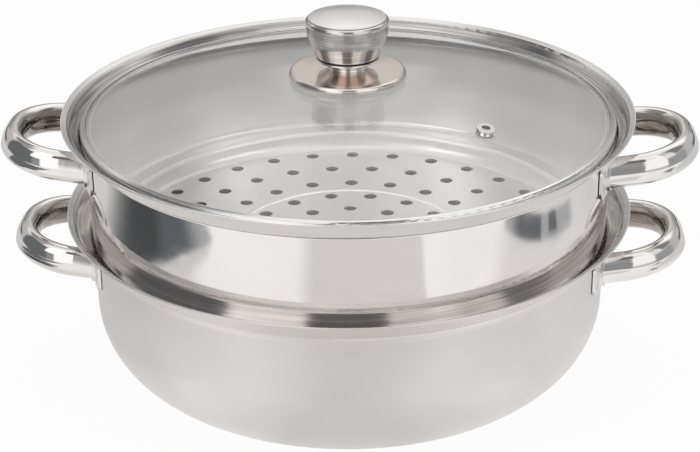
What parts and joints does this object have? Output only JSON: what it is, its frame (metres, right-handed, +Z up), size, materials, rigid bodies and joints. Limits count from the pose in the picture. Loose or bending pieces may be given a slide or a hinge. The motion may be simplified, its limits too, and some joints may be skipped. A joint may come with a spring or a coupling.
{
  "type": "steamer pot",
  "caption": "Two-tier stainless steamer pot: round-cornered pot, stacked tier with pierced floor, domed glass lid with steel knob, and loop handles welded to both tiers.",
  "frame": {"origin": "centre of the pot's flat base, on the surface that the pot stands on", "axes": "+Z up along the pot's axis, +X through the right handles, -Y towards the front"},
  "size_m": [0.3442, 0.2804, 0.1843],
  "materials": {
    "pot_steel": "satin outside and inside",
    "polished_steel": "mirror polished wall, satin pierced floor",
    "handle_steel": "mirror polished",
    "bracket_steel": "satin, with bright weld beads",
    "band_steel": "polished",
    "eyelet_steel": "polished",
    "knob_steel": "mirror polished",
    "knob_cap_steel": "fine satin",
    "screw_steel": "bright zinc",
    "insert_brass": "turned",
    "black_core": "moulded, matt",
    "soft_seal": "pale silicone",
    "clear_glass": "clear tempered, polished"
  },
  "bodies": {
    "pot": {"pot_body": "pot_steel", "pot_handle_left": "handle_steel", "pot_handle_right": "handle_steel", "pot_bracket_left_front": "bracket_steel", "pot_bracket_left_rear": "bracket_steel", "pot_bracket_right_front": "bracket_steel", "pot_bracket_right_rear": "bracket_steel"},
    "steamer": {"steamer_body": "polished_steel", "steamer_handle_left": "handle_steel", "steamer_handle_right": "handle_steel", "steamer_bracket_left_front": "bracket_steel", "steamer_bracket_left_rear": "bracket_steel", "steamer_bracket_right_front": "bracket_steel", "steamer_bracket_right_rear": "bracket_steel"},
    "lid": {"lid_glass": "clear_glass", "lid_rim_band": "band_steel", "lid_vent_eyelet": "eyelet_steel", "lid_gasket_upper": "soft_seal", "lid_gasket_lower": "soft_seal", "knob_base": "knob_steel", "knob_core": "black_core", "knob_insert": "insert_brass", "knob_cup": "knob_steel", "knob_top_cap": "knob_cap_steel", "knob_washer": "screw_steel", "knob_spring_washer": "screw_steel", "knob_screw": "screw_steel"}
  },
  "joints": [
    {"name": "steamer_lift", "type": "slide", "parent": "pot", "child": "steamer", "axis": [0, 0, 1], "range_m": [0, 0.12]},
    {"name": "lid_lift", "type": "slide", "parent": "steamer", "child": "lid", "axis": [0, 0, 1], "range_m": [0, 0.12]}
  ]
}
